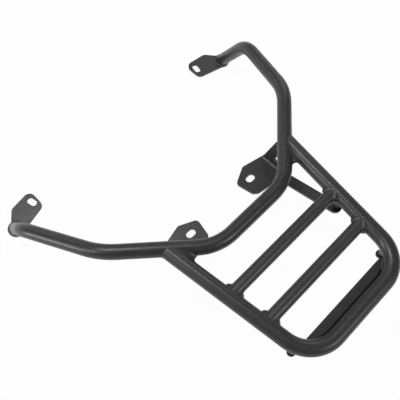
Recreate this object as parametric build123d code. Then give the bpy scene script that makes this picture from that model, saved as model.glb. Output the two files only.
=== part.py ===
from build123d import *
import os
from math import cos, radians, sin, sqrt, tan

# Luggage rack of welded steel tube for the tail of a motorcycle, in millimetres.
# X is the rider's right, Y is forward and Z is up. The origin lies midway between the two middle
# slots, on the plane of the middle seats, which is the underside of the middle brackets.

# Tube and sheet stock
RAIL_OD = 19.0
RAIL_WALL = 2.0
BAR_OD = 16.0
BAR_WALL = 1.5
BRACKET_SHEET = 4.0
TAB_SHEET = 4.0
REAR_SHEET = 3.0

# Heights above the middle seats
DECK_Z = 59.0
FRONT_SEAT_Z = -66.0

# Grab rail: a cross run, two arms swept forward, two fore arms that dip, and two legs
CROSS_Y = -50.3
CROSS_HALF = 59.0
ARM_SWEEP = 41.8
ARM_RUN = 138.7
FORE_FLARE = 22.7
FORE_DROP = 18.4
FORE_RUN = 124.5
FOOT_X = 212.0
FOOT_Y = 203.0
ARM_BEND = 62.0
ELBOW_BEND = 76.0
KNEE_BEND = 61.0

# Rear hoop and crossbars
HOOP_REAR_Y = -214.3
HOOP_REAR_HALF = 79.4
HOOP_TAPER = 7.3
HOOP_BEND = 42.0
COPE_GAP = 3.5
FRONT_BAR_Y = -101.1
REAR_BAR_Y = -150.1

# Rear plate between the hoop's corners
REAR_PLATE_FRONT_Y = -192.3
REAR_PLATE_DROP = 4.0

# Middle brackets: a slotted seat, a flange up to the arm and a strap back under the hoop
MID_SLOT_HALF = 56.5
MID_SLOT_LENGTH = 14.0
MID_SLOT_WIDTH = 9.6
SEAT_TIP_X = 36.9
SEAT_TIP_Y = 7.6
SEAT_NOSE_X = 61.5
SEAT_NOSE_Y = 19.3
SEAT_HEEL_X = 48.5
SEAT_HEEL_Y = -23.3
SEAT_CHAMFER = 6.5
SEAT_CORNER = 6.0
FLANGE_OUT = 5.1
FLANGE_FRONT = 26.9
FLANGE_TOP_FRONT = 12.3
FLANGE_REAR = 15.1
FLANGE_SEAT_DEPTH = 3.0
FOLD_RADIUS = 3.0
NOTCH_RADIUS = 13.0
NOTCH_DEPTH = 23.0
NOTCH_Z = 20.5
STRAP_WIDTH = 14.6
STRAP_ROOT = 8.0
STRAP_TOE = 0.9
STRAP_SLOPE = 20.3
STRAP_END_Y = -113.0
SPACER_OD = 9.0
SPACER_INSET = 1.6

# Front tabs: slotted plates under the legs
FRONT_SLOT_HALF = 170.5
FRONT_SLOT_Y = 220.9
FRONT_SLOT_LENGTH = 17.2
FRONT_SLOT_WIDTH = 9.6
FRONT_SLOT_TURN = 79.0
TAB_TIP_IN = 8.8
TAB_TIP_REAR = 15.6
TAB_TIP_FRONT = 16.6
TAB_SHOULDER_IN = 13.0
TAB_SHOULDER_FRONT = 29.0
TAB_END_LEDGE = 3.0
TAB_CORNER = 9.5
TAB_WAIST_LEDGE = 2.0

# Weld beads, by their radius, and the half angles that the beads at the coped ends turn through
COPE_WELD = 1.6
COPE_TURN = 88.0
CROTCH_WELD = 3.6
CROTCH_TURN = 50.0
BAR_WELD = 6.5
LEG_WELD = 1.8
SPACER_WELD = 2.0

# Support pegs under the hoop's rear corners, with moulded ball caps
PEG_Y = -190.0
PEG_OUT = 2.0
PEG_OD = 7.0
PEG_SOCKET = 3.0
BALL_OD = 11.0
BALL_DROP = 33.0


def direction(flare, drop):
    """Unit vector turned from forward to the right by flare and down by drop, in degrees."""
    level = cos(radians(drop))
    return Vector(level * sin(radians(flare)), level * cos(radians(flare)), -sin(radians(drop)))


def rod(path, diameter):
    """Solid round bar along a path of straight runs and bends."""
    start = Plane(origin=path @ 0, z_dir=path % 0)
    return sweep(start * Circle(diameter / 2), path=path)


def mirrored(points):
    """Points of the right half after those of the left half, in one run."""
    left = [Vector(-p.X, p.Y, p.Z) for p in reversed(points)]
    return left + points


def largest(shape):
    return max(shape.solids(), key=lambda s: s.volume)


def hoop_side_x(y):
    """Half width of the hoop's centre line at a place along its straight side."""
    return HOOP_REAR_HALF + (y - HOOP_REAR_Y) * tan(radians(HOOP_TAPER))


def hoop_bend_x(y):
    """Half width of the hoop's centre line in its rear corner."""
    centre_y = HOOP_REAR_Y + HOOP_BEND
    centre_x = hoop_side_x(centre_y) - HOOP_BEND / cos(radians(HOOP_TAPER))
    return centre_x + sqrt(HOOP_BEND**2 - (y - centre_y) ** 2)


def slot(length, width, depth):
    return extrude(SlotOverall(length, width), depth, both=True)


# Grab rail: the legs run through the front tabs' top face and are cut flush with it
front_top = FRONT_SEAT_Z + TAB_SHEET
arm = direction(90 - ARM_SWEEP, 0)
shoulder = Vector(CROSS_HALF, CROSS_Y, DECK_Z)
elbow = shoulder + arm * ARM_RUN
knee = elbow + direction(FORE_FLARE, FORE_DROP) * FORE_RUN
foot = Vector(FOOT_X, FOOT_Y, front_top)
leg_end = foot + (foot - knee).normalized() * RAIL_OD
rail_bends = [KNEE_BEND, ELBOW_BEND, ARM_BEND]
rail_path = FilletPolyline(
    *mirrored([shoulder, elbow, knee, leg_end]), radius=rail_bends + rail_bends[::-1]
)
rail_outside = rod(rail_path, RAIL_OD)
rail_tube = rail_outside - rod(rail_path, RAIL_OD - 2 * RAIL_WALL)
grab_rail = split(rail_tube, bisect_by=Plane.XY.offset(front_top), keep=Keep.TOP)

# Rear hoop: its sides run to the arms' centre lines, and their ends are coped to the arms
side = direction(HOOP_TAPER, 0)
rear_corner = Vector(HOOP_REAR_HALF, HOOP_REAR_Y, DECK_Z)
to_shoulder = shoulder - rear_corner
side_run = (to_shoulder.X * arm.Y - to_shoulder.Y * arm.X) / (side.X * arm.Y - side.Y * arm.X)
hoop_end = rear_corner + side * (side_run - COPE_GAP)
hoop_path = FilletPolyline(*mirrored([rear_corner, hoop_end]), radius=[HOOP_BEND] * 2)
hoop_outside = rod(hoop_path, RAIL_OD)
hoop_tube = hoop_outside - rod(hoop_path, RAIL_OD - 2 * RAIL_WALL)
rear_hoop = largest(hoop_tube - rail_outside)


def crossbar(y):
    half = hoop_side_x(y)
    path = Line((-half, y, DECK_Z), (half, y, DECK_Z))
    tube = rod(path, BAR_OD) - rod(path, BAR_OD - 2 * BAR_WALL)
    return largest(tube - hoop_outside)


# Rear plate: fills the hoop's rear corners behind a straight front edge
plate_z = DECK_Z - REAR_PLATE_DROP - REAR_SHEET
plate_area = Polygon(
    (hoop_side_x(REAR_PLATE_FRONT_Y), REAR_PLATE_FRONT_Y),
    (-hoop_side_x(REAR_PLATE_FRONT_Y), REAR_PLATE_FRONT_Y),
    (-HOOP_REAR_HALF, HOOP_REAR_Y),
    (HOOP_REAR_HALF, HOOP_REAR_Y),
    align=None,
)
rear_blank = extrude(Plane.XY.offset(plate_z) * plate_area, REAR_SHEET)
rear_plate = (rear_blank - hoop_outside).solids().sort_by_distance((0, REAR_PLATE_FRONT_Y, plate_z))[0]

# Middle brackets: the flange stands under the arm, and the strap's end lies under the hoop's side
flange_x = hoop_side_x(STRAP_END_Y) + FLANGE_OUT
arm_y = shoulder.Y + (flange_x - shoulder.X) * arm.Y / arm.X
flange_front_y = arm_y + FLANGE_FRONT
flange_rear_y = arm_y - FLANGE_REAR
strap_shift = (flange_rear_y - STRAP_END_Y) * tan(radians(STRAP_TOE))
spacer_x = hoop_side_x(STRAP_END_Y) - SPACER_INSET


def bracket_plan():
    """Plan of the seat and its strap, rounded at the corners and at the strap's root and end."""
    heel_slope = (SEAT_HEEL_Y - flange_rear_y) / (flange_x - SEAT_HEEL_X)
    strap_x = flange_x - STRAP_WIDTH
    root_y = flange_rear_y + heel_slope * STRAP_WIDTH
    plan = Polygon(
        (SEAT_HEEL_X - SEAT_CHAMFER, SEAT_HEEL_Y + SEAT_CHAMFER * (1 - heel_slope)),
        (SEAT_HEEL_X, SEAT_HEEL_Y),
        (strap_x, root_y),
        (strap_x - strap_shift, STRAP_END_Y),
        (flange_x - strap_shift, STRAP_END_Y),
        (flange_x, flange_rear_y),
        (flange_x, flange_front_y),
        (SEAT_NOSE_X, SEAT_NOSE_Y),
        (SEAT_TIP_X, SEAT_TIP_Y),
        align=None,
    )
    plan = fillet(plan.vertices().filter_by_position(Axis.X, 0, SEAT_NOSE_X), SEAT_CORNER)
    plan = fillet(plan.vertices().sort_by_distance((strap_x, root_y))[0], STRAP_ROOT)
    end_x = flange_x - strap_shift - STRAP_WIDTH / 2
    return plan + Pos(end_x, STRAP_END_Y) * Circle(STRAP_WIDTH / 2)


def flange_sheet():
    """Seat and upright flange as one folded section, with the flange trimmed and notched from the side."""
    start_x = SEAT_TIP_X - SEAT_CORNER
    inner_x = flange_x - BRACKET_SHEET
    flange_top = DECK_Z - FLANGE_SEAT_DEPTH
    profile = make_face(
        Polyline(
            (start_x, 0),
            (flange_x, 0),
            (flange_x, flange_top),
            (inner_x, flange_top),
            (inner_x, BRACKET_SHEET),
            (start_x, BRACKET_SHEET),
            close=True,
        )
    )
    profile = fillet(profile.vertices().sort_by_distance((inner_x, BRACKET_SHEET))[0], FOLD_RADIUS)
    outer_radius = FOLD_RADIUS + BRACKET_SHEET
    profile = fillet(profile.vertices().sort_by_distance((flange_x, 0))[0], outer_radius)
    sheet = extrude(Plane.XZ.offset(-SEAT_NOSE_Y) * profile, SEAT_NOSE_Y - flange_rear_y)
    trim = Polygon(
        (SEAT_NOSE_Y, 0),
        (SEAT_NOSE_Y, BRACKET_SHEET),
        (flange_front_y, BRACKET_SHEET),
        (arm_y + FLANGE_TOP_FRONT, flange_top),
        (flange_rear_y, flange_top),
        (flange_rear_y, 0),
        align=None,
    )
    notch = Pos(flange_rear_y + NOTCH_DEPTH - NOTCH_RADIUS, NOTCH_Z) * Circle(NOTCH_RADIUS)
    return sheet & extrude(Plane.YZ * (trim - notch), flange_x)


def strap_sheet():
    """Strip that leaves the seat level and bends up towards the hoop."""
    rise = radians(STRAP_SLOPE)
    tail_y = STRAP_END_Y - STRAP_WIDTH / 2
    tail_top = BRACKET_SHEET + (flange_rear_y - tail_y) * tan(rise)
    section = Polygon(
        (flange_rear_y + STRAP_ROOT, 0),
        (flange_rear_y + STRAP_ROOT, BRACKET_SHEET),
        (flange_rear_y, BRACKET_SHEET),
        (tail_y, tail_top),
        (tail_y, tail_top - BRACKET_SHEET / cos(rise)),
        (flange_rear_y - BRACKET_SHEET * tan(rise / 2), 0),
        align=None,
    )
    width = STRAP_WIDTH + STRAP_ROOT + strap_shift
    return extrude(Plane.YZ.offset(flange_x - width) * section, width)


def mid_bracket():
    """Slotted seat, flange and strap of one folded sheet, with the flange coped to the tubes."""
    sheet = (flange_sheet() + strap_sheet()) & extrude(bracket_plan(), DECK_Z)
    cut = Pos(MID_SLOT_HALF, 0, 0) * slot(MID_SLOT_LENGTH, MID_SLOT_WIDTH, 2 * BRACKET_SHEET)
    return largest(sheet - cut - rail_outside - hoop_outside)


def strap_spacer(bracket):
    """Round spacer between the strap's round end and the hoop's underside."""
    post = Pos(spacer_x, STRAP_END_Y) * extrude(Circle(SPACER_OD / 2), DECK_Z)
    pieces = (post - hoop_outside - bracket).solids()
    return pieces.sort_by(Axis.Z)[-1]


def tab_outline():
    """Plan of a front tab, whose outer end is rounded about the leg's foot."""
    tip_x = FRONT_SLOT_HALF - TAB_TIP_IN
    end_radius = RAIL_OD / 2 + TAB_END_LEDGE
    plan = Polygon(
        (tip_x, FRONT_SLOT_Y - TAB_TIP_REAR),
        (FOOT_X, FOOT_Y - RAIL_OD / 2 - TAB_WAIST_LEDGE),
        (FOOT_X, FOOT_Y + end_radius),
        (FOOT_X - TAB_SHOULDER_IN, FOOT_Y + TAB_SHOULDER_FRONT),
        (tip_x, FRONT_SLOT_Y + TAB_TIP_FRONT),
        align=None,
    )
    plan = fillet(plan.vertices().filter_by_position(Axis.X, 0, FOOT_X - 1), TAB_CORNER)
    return plan + Pos(FOOT_X, FOOT_Y) * Circle(end_radius)


def front_tab():
    """Slotted plate under the leg."""
    plate = extrude(Plane.XY.offset(FRONT_SEAT_Z) * tab_outline(), TAB_SHEET)
    place = Pos(FRONT_SLOT_HALF, FRONT_SLOT_Y, FRONT_SEAT_Z) * Rot(0, 0, FRONT_SLOT_TURN)
    return plate - place * slot(FRONT_SLOT_LENGTH, FRONT_SLOT_WIDTH, 2 * TAB_SHEET)


peg_x = hoop_bend_x(PEG_Y) + PEG_OUT
ball_z = DECK_Z - BALL_DROP


def support_peg():
    """Pin from the ball cap's socket up to the hoop's underside."""
    foot_z = ball_z + BALL_OD / 2 - PEG_SOCKET
    pin = Pos(peg_x, PEG_Y, foot_z) * extrude(Circle(PEG_OD / 2), DECK_Z - foot_z)
    return (pin - hoop_outside).solids().sort_by(Axis.Z)[0]


def ball_cap(peg):
    return Pos(peg_x, PEG_Y, ball_z) * Sphere(BALL_OD / 2) - peg


def side_stub(y):
    """Short straight length of the hoop's right side about a place along it."""
    middle = Vector(hoop_side_x(y), y, DECK_Z)
    return rod(Line(middle - side * RAIL_OD, middle + side * RAIL_OD), RAIL_OD)


def bead(first, second, seam_type, radius):
    """Concave weld bead along the seam where two solids meet."""
    seam = (first + second).edges().filter_by(seam_type)
    return fillet(seam, radius) - first - second


def crossbar_weld(y):
    """Bead round the right end of a crossbar."""
    joint = Vector(hoop_side_x(y), y, DECK_Z)
    bar = rod(Line(joint - Vector(2 * BAR_OD, 0, 0), joint), BAR_OD)
    return bead(bar, side_stub(y), GeomType.BSPLINE, BAR_WELD)


def spacer_weld():
    """Bead round the top of the right spacer."""
    top = Vector(spacer_x, STRAP_END_Y, DECK_Z)
    post = rod(Line(top - Vector(0, 0, RAIL_OD), top), SPACER_OD)
    return bead(post, side_stub(STRAP_END_Y), GeomType.BSPLINE, SPACER_WELD)


def leg_weld():
    """Bead round the right leg's foot, kept within the tab's outline."""
    lean = (foot - knee).normalized()
    leg = rod(Line(foot - lean * 2 * RAIL_OD, foot + lean * RAIL_OD), RAIL_OD)
    leg = split(leg, bisect_by=Plane.XY.offset(front_top), keep=Keep.TOP)
    ground = Pos(FOOT_X, FOOT_Y, FRONT_SEAT_Z) * extrude(Circle(2 * RAIL_OD), TAB_SHEET)
    above_tab = extrude(Plane.XY.offset(front_top) * tab_outline(), RAIL_OD)
    return bead(leg, ground, GeomType.ELLIPSE, LEG_WELD) & above_tab


def cope_bead(along, radius, half_turn):
    """Bead with round ends on the half ellipse where the hoop's end meets one side of the arm."""
    across = (along - side).normalized()
    reach = RAIL_OD / 2 / across.cross(arm).length
    plane = Plane(
        origin=rear_corner + side * side_run,
        x_dir=across,
        z_dir=across.cross(Vector(0, 0, 1)),
    )
    seam = plane * EllipticalCenterArc(
        (0, 0), reach, RAIL_OD / 2, start_angle=-half_turn, arc_size=2 * half_turn
    )
    ends = [Pos(*(seam @ place)) * Sphere(radius) for place in (0, 1)]
    return rod(seam, 2 * radius) + ends


def cope_weld(bracket):
    """Bead round the hoop's right front end, thickest in the crotch between hoop and arm."""
    run = cope_bead(arm, COPE_WELD, COPE_TURN) + cope_bead(-arm, COPE_WELD, COPE_TURN)
    run += cope_bead(-arm, CROTCH_WELD, CROTCH_TURN)
    return run - rail_outside - hoop_outside - bracket


parts = {
    "grab_rail": grab_rail,
    "rear_hoop": rear_hoop,
    "front_crossbar": crossbar(FRONT_BAR_Y),
    "rear_crossbar": crossbar(REAR_BAR_Y),
    "rear_plate": rear_plate,
}
right_bracket = mid_bracket()
right_peg = support_peg()
right_parts = {
    "front_tab": front_tab(),
    "mid_bracket": right_bracket,
    "strap_spacer": strap_spacer(right_bracket),
    "support_peg": right_peg,
    "ball_cap": ball_cap(right_peg),
    "leg_weld": leg_weld(),
    "spacer_weld": spacer_weld(),
    "front_crossbar_weld": crossbar_weld(FRONT_BAR_Y),
    "rear_crossbar_weld": crossbar_weld(REAR_BAR_Y),
    "cope_weld": cope_weld(right_bracket),
}
for name, solid in right_parts.items():
    parts["right_" + name] = solid
    parts["left_" + name] = mirror(solid, about=Plane.YZ)

os.makedirs("parts", exist_ok=True)
for name, solid in parts.items():
    export_step(solid, f"parts/{name}.step")
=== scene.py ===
import math

import bmesh
import bpy
from mathutils import Matrix, Vector


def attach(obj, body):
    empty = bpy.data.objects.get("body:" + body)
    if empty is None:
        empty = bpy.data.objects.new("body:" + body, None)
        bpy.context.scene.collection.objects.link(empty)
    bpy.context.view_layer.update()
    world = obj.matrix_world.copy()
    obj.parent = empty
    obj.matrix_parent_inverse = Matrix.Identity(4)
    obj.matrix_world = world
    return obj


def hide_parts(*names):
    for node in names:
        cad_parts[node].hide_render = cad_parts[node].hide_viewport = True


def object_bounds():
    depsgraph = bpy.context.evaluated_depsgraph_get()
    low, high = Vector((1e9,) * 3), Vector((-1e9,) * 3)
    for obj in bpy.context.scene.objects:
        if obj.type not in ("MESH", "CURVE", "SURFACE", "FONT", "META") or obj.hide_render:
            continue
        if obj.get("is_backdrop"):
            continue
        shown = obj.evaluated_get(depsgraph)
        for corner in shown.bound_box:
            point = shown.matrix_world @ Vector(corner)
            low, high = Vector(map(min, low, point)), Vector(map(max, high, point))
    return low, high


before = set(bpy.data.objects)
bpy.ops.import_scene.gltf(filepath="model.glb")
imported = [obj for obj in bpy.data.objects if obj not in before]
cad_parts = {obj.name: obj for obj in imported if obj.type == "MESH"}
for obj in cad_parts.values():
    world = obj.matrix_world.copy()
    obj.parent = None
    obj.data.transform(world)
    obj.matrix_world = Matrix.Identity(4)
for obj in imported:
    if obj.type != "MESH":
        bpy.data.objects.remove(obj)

scene = bpy.context.scene
scene.view_settings.view_transform = "Standard"

# The box of the solids, whose lowest point sets the floor's height
cad_low, cad_high = (Vector(corner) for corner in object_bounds())

# CAD nodes by what they are made of, and the sign of X on each side
SIDES = {"left": -1, "right": 1}
TUBES = ["grab_rail", "rear_hoop", "front_crossbar", "rear_crossbar"]
SHEETS = [f"{side}_{name}" for side in SIDES for name in ("front_tab", "mid_bracket")]
PINS = [f"{side}_{name}" for side in SIDES for name in ("strap_spacer", "support_peg")]
WELDS = ["cope_weld", "front_crossbar_weld", "rear_crossbar_weld", "leg_weld", "spacer_weld"]
BEADS = [f"{side}_{name}" for side in SIDES for name in WELDS]
CAPS = [f"{side}_ball_cap" for side in SIDES]

# The rack's own sizes that the welds and the plate's seam follow, in metres and radians
TUBE_RADIUS = 0.0095
BAR_RADIUS = 0.008
DECK_Z = 0.059
ARM_SWEEP = math.radians(41.8)
HOOP_TAPER = math.radians(7.3)
HOOP_REAR_HALF = 0.0794
HOOP_REAR_Y = -0.2143
CORNER_X = 0.04244  # centres of the bends in the hoop's rear corners
CORNER_Y = -0.1723
JOINT_X = 0.105765  # where the hoop's side meets the arm's centre line
JOINT_Y = -0.008487
BAR_PLACES = {"front": -0.1011, "rear": -0.1501}


class Nodes:
    """Short ways to add and join shader nodes in one material."""

    def __init__(self, name):
        self.material = bpy.data.materials.new(name)
        self.material.use_nodes = True
        self.tree = self.material.node_tree
        self.shader = self.tree.nodes["Principled BSDF"]

    def add(self, kind, **values):
        """Adds a node and sets its sockets, or else its properties."""
        node = self.tree.nodes.new(kind)
        for key, value in values.items():
            if key in node.inputs:
                node.inputs[key].default_value = value
            else:
                setattr(node, key, value)
        return node

    def link(self, source, target):
        self.tree.links.new(source, target)

    def place(self):
        """Object coordinates, which are metres in the part's own frame."""
        return self.add("ShaderNodeTexCoord").outputs["Object"]

    def noise(self, scale, detail=3.0, roughness=0.5):
        node = self.add("ShaderNodeTexNoise", Scale=scale, Detail=detail, Roughness=roughness)
        self.link(self.place(), node.inputs["Vector"])
        return node.outputs["Fac"]

    def ramp(self, source, low, high, start=0.3, end=0.7):
        """Maps the values from start to end to those from low to high, and holds them beyond."""
        node = self.add("ShaderNodeMapRange")
        ends = {"From Min": start, "From Max": end, "To Min": low, "To Max": high}
        for key, value in ends.items():
            node.inputs[key].default_value = value
        self.link(source, node.inputs["Value"])
        return node.outputs["Result"]

    def mix(self, factor, first, second):
        """Goes from the first colour to the second, each a plain colour or a node's output."""
        node = self.add("ShaderNodeMix", data_type="RGBA")
        for socket, value in ((node.inputs[6], first), (node.inputs[7], second)):
            if isinstance(value, tuple):
                socket.default_value = value
            else:
                self.link(value, socket)
        self.link(factor, node.inputs["Factor"])
        return node.outputs[2]

    def maths(self, operation, source, value=0.0):
        node = self.add("ShaderNodeMath", operation=operation)
        self.link(source, node.inputs[0])
        node.inputs[1].default_value = value
        return node.outputs[0]

    def bump(self, height, strength, distance, normal=None):
        node = self.add("ShaderNodeBump", Strength=strength, Distance=distance)
        self.link(height, node.inputs["Height"])
        if normal is not None:
            self.link(normal, node.inputs["Normal"])
        return node.outputs["Normal"]

    def paint(self, colour, roughness, normal):
        sources = {"Base Color": colour, "Roughness": roughness, "Normal": normal}
        for name, source in sources.items():
            self.link(source, self.shader.inputs[name])
        return self.material


def grey(value):
    """Neutral colour with a trace of blue."""
    return (value, value, value * 1.02, 1.0)


SPECK_SHARE = 0.16
EDGE_SHARE = 0.35
FULL_GLOSS = 0.5
# Gloss and colour shares of the painted shade along the rear plate's seam with the hoop
SEAM_SHADE_GLOSS = 0.1
SEAM_SHADE_TONE = 0.4


def powder_coat(name, level, rough, seam=None):
    """Satin black powder coat: fine orange peel, faint clouds and edges rubbed a little lighter.

    A seam is a pair of distances from the line between the centres of the hoop's rear bends.
    From the first to the second the coat fades to painted shade: a darker, less glossy line along
    the hoop that stands in for the shade of the open seam.
    """
    m = Nodes(name)
    cloud = m.noise(38.0, detail=4.0, roughness=0.55)
    speck = m.noise(2600.0, detail=2.0, roughness=0.6)
    peel = m.noise(900.0, roughness=0.6)
    pointed = m.add("ShaderNodeNewGeometry").outputs["Pointiness"]
    tone = m.mix(m.ramp(cloud, 0.0, 1.0), grey(level * 0.86), grey(level * 1.14))
    tone = m.mix(m.ramp(speck, 0.0, SPECK_SHARE, 0.58, 0.78), tone, grey(level * 2.2))
    tone = m.mix(m.ramp(pointed, 0.0, EDGE_SHARE, 0.53, 0.62), tone, grey(level * 2.6))
    fine = m.bump(speck, strength=0.05, distance=0.0002)
    normal = m.bump(peel, strength=0.08, distance=0.0004, normal=fine)
    sheen = m.ramp(m.noise(95.0), rough - 0.05, rough + 0.06)
    # Painted shade: the plate darkens and loses gloss along the hoop, in place of the shade of
    # the open seam
    if seam:
        place = m.add("ShaderNodeSeparateXYZ")
        m.link(m.place(), place.inputs["Vector"])
        aside = m.maths("SUBTRACT", m.maths("ABSOLUTE", place.outputs["X"]), CORNER_X)
        flat = m.add("ShaderNodeCombineXYZ")
        m.link(m.maths("MAXIMUM", aside), flat.inputs["X"])
        m.link(m.maths("SUBTRACT", place.outputs["Y"], CORNER_Y), flat.inputs["Y"])
        length = m.add("ShaderNodeVectorMath", operation="LENGTH")
        m.link(flat.outputs["Vector"], length.inputs[0])
        reach = length.outputs["Value"]
        tone = m.mix(m.ramp(reach, 1.0, 0.0, *seam), grey(level * SEAM_SHADE_TONE), tone)
        gloss = m.ramp(reach, FULL_GLOSS, SEAM_SHADE_GLOSS, *seam)
        m.link(gloss, m.shader.inputs["Specular IOR Level"])
    return m.paint(tone, sheen, normal)


def weld_coat(name, level, rough):
    """The same coat over a bead, with the ripples of the weld showing through."""
    m = Nodes(name)
    tone = m.mix(m.ramp(m.noise(120.0), 0.0, 1.0), grey(level * 0.85), grey(level * 1.2))
    ripple = m.noise(420.0, detail=1.0, roughness=0.4)
    lumps = m.bump(ripple, strength=0.3, distance=0.0006)
    grain = m.noise(1400.0, detail=2.0, roughness=0.6)
    normal = m.bump(grain, strength=0.12, distance=0.0003, normal=lumps)
    sheen = m.ramp(m.noise(160.0), rough - 0.06, rough + 0.08)
    return m.paint(tone, sheen, normal)


def cap_plastic(name):
    """Moulded black plastic with a soft gloss and faint handling marks."""
    m = Nodes(name)
    tone = m.mix(m.ramp(m.noise(240.0), 0.0, 1.0), grey(0.006), grey(0.010))
    rough = m.ramp(m.noise(420.0, detail=4.0, roughness=0.65), 0.24, 0.38)
    m.shader.inputs["Specular IOR Level"].default_value = 0.16
    return m.paint(tone, rough, m.bump(m.noise(700.0), strength=0.05, distance=0.0003))


def dress(names, material, bevel=None):
    """Gives CAD nodes a material and, where a bevel is given, softly broken edges."""
    for name in names:
        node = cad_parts[name]
        for slot in node.material_slots:
            slot.material = material
        if bevel:
            edge = node.modifiers.new("edge", "BEVEL")
            edge.width = bevel
            edge.segments = 2
            edge.limit_method = "ANGLE"
            edge.angle_limit = math.radians(50)
            edge.harden_normals = True


TUBE_TONE = 0.016
SHEET_TONE = 0.015
SATIN = 0.36
SHEET_EDGE = 0.0005
# Distances from the hoop's rear corner line over which the painted seam shade fades in on the
# rear plate
SEAM_SHADE_REACH = (0.0304, 0.0309)

dress(TUBES, powder_coat("tube_powder_coat", TUBE_TONE, SATIN))
dress(SHEETS, powder_coat("sheet_powder_coat", SHEET_TONE, SATIN), bevel=SHEET_EDGE)
# The rear plate's coat carries a painted shade line along its seam with the hoop
dress(["rear_plate"], powder_coat("plate_powder_coat_painted_shade", SHEET_TONE, SATIN, seam=SEAM_SHADE_REACH))
dress(PINS, powder_coat("pin_powder_coat", SHEET_TONE, 0.38))
bead_coat = weld_coat("weld_powder_coat", TUBE_TONE, 0.40)
dress(BEADS, bead_coat)
dress(CAPS, cap_plastic("cap_gloss_plastic"))


def add_piece(name, shape):
    """Adds an object with this mesh, in the coat of the welds."""
    shape.materials.append(bead_coat)
    piece = bpy.data.objects.new(name, shape)
    scene.collection.objects.link(piece)
    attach(piece, "root")
    return piece


# Welds of the hoop to the arms: a smooth fill along each seam, in place of the plain beads
FILL_RADIUS = 0.0038
FILL_SINK = 0.0002  # how much deeper the fill is pared back
FILL_HEM = 0.00012  # how far its edge runs on under the tubes' surfaces
FILL_VOXEL = 0.0005
FILL_LENGTH = 0.065
FILL_REACH = 0.042
FILL_SKIN = 0.0008
TUBE_SEGMENTS = 96
ROUNDS_THICK = 6
ROUNDS_PARED = 28


def add_tube(mesh, start, end, radius):
    """Adds a closed cylinder between two points."""
    along = end - start
    turn = along.to_track_quat("Z", "Y").to_matrix().to_4x4()
    bmesh.ops.create_cone(
        mesh,
        cap_ends=True,
        segments=TUBE_SEGMENTS,
        radius1=radius,
        radius2=radius,
        depth=along.length,
        matrix=Matrix.Translation((start + end) / 2) @ turn,
    )


def relax(mesh, rounds):
    """Evens out a mesh by moving each vertex halfway to the mean of its neighbours."""
    every_axis = {"use_axis_x": True, "use_axis_y": True, "use_axis_z": True}
    for _ in range(rounds):
        bmesh.ops.smooth_vert(mesh, verts=mesh.verts, factor=0.5, **every_axis)


def off_axis(point, through, along):
    """Distance of a point from a line."""
    return (point - through).cross(along).length


def cope_weld(name, node, hand):
    """Rounds out the seam between the hoop's end and the arm, on the side given by hand.

    The two tubes are joined a weld's radius too thick and pared back by as much, which leaves
    the seam filled to that radius. What lies under the tubes' own surfaces is then cut away.
    """
    joint = Vector((hand * JOINT_X, JOINT_Y, DECK_Z))
    arm = Vector((hand * math.cos(ARM_SWEEP), math.sin(ARM_SWEEP), 0))
    side = Vector((hand * math.sin(HOOP_TAPER), math.cos(HOOP_TAPER), 0))
    arm_half, side_run = arm * FILL_LENGTH, side * FILL_LENGTH
    thick = bmesh.new()
    add_tube(thick, joint - arm_half, joint + arm_half, TUBE_RADIUS + FILL_RADIUS)
    add_tube(thick, joint - side_run, joint, TUBE_RADIUS + FILL_RADIUS)
    shape = bpy.data.meshes.new(name)
    thick.to_mesh(shape)
    thick.free()
    piece = add_piece(name, shape)
    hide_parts(node)
    union = piece.modifiers.new("union", "REMESH")
    union.mode = "VOXEL"
    union.voxel_size = FILL_VOXEL
    joined = piece.evaluated_get(bpy.context.evaluated_depsgraph_get())
    fill = bmesh.new()
    fill.from_mesh(joined.to_mesh())
    piece.modifiers.clear()
    relax(fill, ROUNDS_THICK)
    fill.normal_update()
    for vert in fill.verts:
        vert.co -= vert.normal * (FILL_RADIUS + FILL_SINK)
    relax(fill, ROUNDS_PARED)
    least = TUBE_RADIUS - FILL_HEM
    buried = [
        vert
        for vert in fill.verts
        if min(off_axis(vert.co, joint, arm), off_axis(vert.co, joint, side)) < least
        or (vert.co - joint).length > FILL_REACH
    ]
    bmesh.ops.delete(fill, geom=buried, context="VERTS")
    for face in fill.faces:
        face.smooth = True
    fill.to_mesh(shape)
    fill.free()
    skin = piece.modifiers.new("skin", "SOLIDIFY")
    skin.thickness = FILL_SKIN
    skin.offset = -1


for side, hand in SIDES.items():
    cope_weld(f"{side}_cope_fill", f"{side}_cope_weld", hand)

# Beads that are swept rings, such as those of the rear plate and the crossbars
BEAD_SIDES = 16


def section(middle, outward, across):
    """Ring of points round a middle, with two half axes."""
    turns = [2 * math.pi * corner / BEAD_SIDES for corner in range(BEAD_SIDES)]
    return [middle + outward * math.cos(turn) + across * math.sin(turn) for turn in turns]


def bead_of_rings(name, rings, closed):
    """Piece that joins rings of points into one bead, which is a loop where closed is set."""
    bead = bmesh.new()
    rings = [[bead.verts.new(point) for point in ring] for ring in rings]
    pairs = list(zip(rings, rings[1:]))
    if closed:
        pairs.append((rings[-1], rings[0]))
    else:
        bead.faces.new(rings[0])
        bead.faces.new(rings[-1])
    for near, far in pairs:
        for corner in range(BEAD_SIDES):
            after = (corner + 1) % BEAD_SIDES
            face = bead.faces.new((near[corner], near[after], far[after], far[corner]))
            face.smooth = True
    bmesh.ops.recalc_face_normals(bead, faces=bead.faces)
    shape = bpy.data.meshes.new(name)
    bead.to_mesh(shape)
    bead.free()
    add_piece(name, shape)


# Welds of the rear plate: a bead along the inside of each rear corner of the hoop
BEAD_TURN = 0.0326
BEAD_Z = 0.0556
BEAD_RADIUS = 0.0024
BEAD_START = math.radians(-70)
BEAD_END = math.radians(-43)
BEAD_STEPS = 64
BEAD_RIPPLES = 8
BEAD_RIPPLE_SHARE = 0.06
BEAD_TIP = 0.06  # share of a half wave that is left off at each end, so that the tips stay blunt
BEAD_TAPER = 0.4


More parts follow.
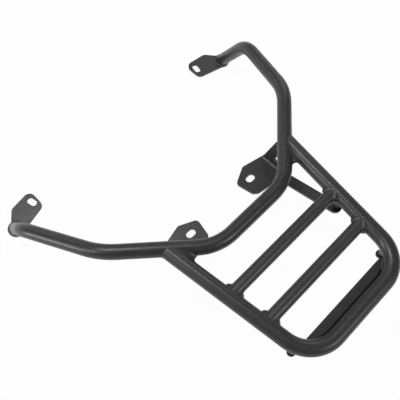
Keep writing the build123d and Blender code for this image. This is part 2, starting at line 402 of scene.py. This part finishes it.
def plate_weld(name, hand):
    """Rippled bead between the rear plate and the hoop, thinner at both ends."""
    rings = []
    for step in range(BEAD_STEPS + 1):
        share = step / BEAD_STEPS
        angle = BEAD_START + (BEAD_END - BEAD_START) * share
        swell = 1 + BEAD_RIPPLE_SHARE * math.sin(2 * math.pi * BEAD_RIPPLES * share)
        wave = math.sin(math.pi * (BEAD_TIP + (1 - 2 * BEAD_TIP) * share))
        radius = BEAD_RADIUS * swell * wave**BEAD_TAPER
        outward = Vector((hand * math.cos(angle), math.sin(angle), 0))
        middle = Vector((hand * CORNER_X, CORNER_Y, BEAD_Z)) + outward * BEAD_TURN
        rings.append(section(middle, outward * radius, Vector((0, 0, radius))))
    bead_of_rings(name, rings, closed=False)


for side, hand in SIDES.items():
    plate_weld(f"{side}_plate_weld", hand)

# Crowns of the crossbars' welds: a bead along each saddle seam, full at the sides and sunk on top
CROWN_REACH = 0.0050
CROWN_HALF = 0.0062
CROWN_MOST = 0.87
CROWN_STEPS = 96
CROWN_RIPPLES = 18
CROWN_RIPPLE_SHARE = 0.03


def bar_crown(name, hand, bar_y):
    """Rippled bead round one end of a crossbar, on the side of the hoop given by hand."""
    hoop_x = HOOP_REAR_HALF + (bar_y - HOOP_REAR_Y) * math.tan(HOOP_TAPER)
    inward = Vector((-hand * math.cos(HOOP_TAPER), math.sin(HOOP_TAPER), 0))
    middles, outwards, sizes = [], [], []
    for step in range(CROWN_STEPS):
        angle = 2 * math.pi * step / CROWN_STEPS
        y, z = BAR_RADIUS * math.cos(angle), BAR_RADIUS * math.sin(angle)
        depth = math.sqrt(TUBE_RADIUS**2 - z**2)
        x = hoop_x - (depth - y * math.sin(HOOP_TAPER)) / math.cos(HOOP_TAPER)
        off_bar = Vector((0, math.cos(angle), math.sin(angle)))
        off_hoop = (inward * depth + Vector((0, 0, z))) / TUBE_RADIUS
        full = min(1 - off_bar.dot(off_hoop), CROWN_MOST)
        swell = 1 + CROWN_RIPPLE_SHARE * math.sin(CROWN_RIPPLES * angle)
        middles.append(Vector((hand * x, bar_y + y, DECK_Z + z)))
        outwards.append((off_bar + off_hoop).normalized())
        sizes.append((CROWN_REACH * full**1.5 * swell, CROWN_HALF * full**0.75))
    rings = []
    for step, (reach, half) in enumerate(sizes):
        along = (middles[(step + 1) % CROWN_STEPS] - middles[step - 1]).normalized()
        across = along.cross(outwards[step]).normalized()
        rings.append(section(middles[step], outwards[step] * reach, across * half))
    bead_of_rings(name, rings, closed=True)


for place, bar_y in BAR_PLACES.items():
    for side, hand in SIDES.items():
        bar_crown(f"{side}_{place}_bar_crown", hand, bar_y)


def direct_rays(tree):
    """1 on a ray by which the camera sees a thing, also in a gloss or through glass, else 0."""
    path = tree.nodes.new("ShaderNodeLightPath")
    source = path.outputs["Is Camera Ray"]
    for ray in ("Is Glossy Ray", "Is Transmission Ray"):
        either = tree.nodes.new("ShaderNodeMath")
        either.operation = "MAXIMUM"
        tree.links.new(source, either.inputs[0])
        tree.links.new(path.outputs[ray], either.inputs[1])
        source = either.outputs[0]
    return source


# Pale floor under the feet, seen white by the camera and with the part's soft shadow
WHITE = (1.0, 1.0, 1.0, 1.0)
FLOOR_TONE = (0.86, 0.86, 0.86, 1.0)
FLOOR_SIZE = 12.0
FLOOR_DROP = 0.0005
FLOOR_GLOW = 0.96
bpy.ops.mesh.primitive_plane_add(size=FLOOR_SIZE, location=(0, 0, cad_low.z - FLOOR_DROP))
floor = bpy.context.object
floor.name = "floor"
floor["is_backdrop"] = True
ground = Nodes("floor_paper")
ground.tree.nodes.remove(ground.shader)
matte = ground.add("ShaderNodeBsdfDiffuse", Color=FLOOR_TONE)
glow = ground.add("ShaderNodeEmission", Color=WHITE, Strength=1.0)
blend = ground.add("ShaderNodeMixShader")
glow_share = ground.maths("MULTIPLY", direct_rays(ground.tree), FLOOR_GLOW)
for source, socket in zip((glow_share, matte.outputs[0], glow.outputs[0]), blend.inputs):
    ground.link(source, socket)
ground.link(blend.outputs[0], ground.tree.nodes["Material Output"].inputs["Surface"])
floor.data.materials.append(ground.material)

# Soft studio light: a dim white room, which is seen paler than it shines, and six round softboxes
ROOM_LEVEL = 0.2
ROOM_SEEN = 0.4
LAMP_DISTANCE = 2.0
world = bpy.data.worlds.new("studio")
scene.world = world
world.use_nodes = True
room = world.node_tree
strength = room.nodes.new("ShaderNodeMapRange")
strength.inputs["To Min"].default_value = ROOM_LEVEL
strength.inputs["To Max"].default_value = ROOM_SEEN
room.links.new(direct_rays(room), strength.inputs["Value"])
background = room.nodes["Background"]
background.inputs["Color"].default_value = WHITE
room.links.new(strength.outputs["Result"], background.inputs["Strength"])


def softbox(name, azimuth, elevation, half_angle, power):
    """Round area lamp that shines on the part.

    The angles are in degrees, and the azimuth runs from X towards Y.
    """
    lamp = bpy.data.lights.new(name, "AREA")
    lamp.shape = "DISK"
    lamp.size = 2 * LAMP_DISTANCE * math.tan(math.radians(half_angle))
    lamp.energy = power
    box = bpy.data.objects.new(name, lamp)
    turn, rise = math.radians(azimuth), math.radians(elevation)
    level = Vector((math.cos(turn), math.sin(turn), 0))
    aim = level * math.cos(rise) + Vector((0, 0, math.sin(rise)))
    box.location = aim * LAMP_DISTANCE
    box.rotation_euler = aim.to_track_quat("Z", "Y").to_euler()
    scene.collection.objects.link(box)


softbox("overhead", 105, 68, 9, 15.6)
softbox("left_low", 150, 8, 8, 10.4)
softbox("left_high", 157, 35, 9, 8.6)
softbox("ahead", 92, 20, 12, 2.2)
softbox("behind", 279, 37, 9, 8.4)
softbox("right", 30, 32, 17, 5.5)

# Camera at the photograph's place, in the part's frame
FOCAL_PX = 533.669
FRAME_PX = 400
EYE = Vector((-0.216862, -0.188220, 0.651096))
AHEAD = Vector((0.284376, 0.300292, -0.910470)).normalized()
ROUGHLY_UP = Vector((0.645960, 0.641734, 0.413416))
lens = bpy.data.cameras.new("photo_camera")
lens.sensor_fit = "HORIZONTAL"
lens.sensor_width = 36.0
lens.lens = lens.sensor_width * FOCAL_PX / FRAME_PX
lens.clip_start = 0.01
camera = bpy.data.objects.new("photo_camera", lens)
across = AHEAD.cross(ROUGHLY_UP).normalized()
turn = Matrix((across, across.cross(AHEAD), -AHEAD)).transposed().to_4x4()
camera.matrix_world = Matrix.Translation(EYE) @ turn
scene.collection.objects.link(camera)
scene.camera = camera
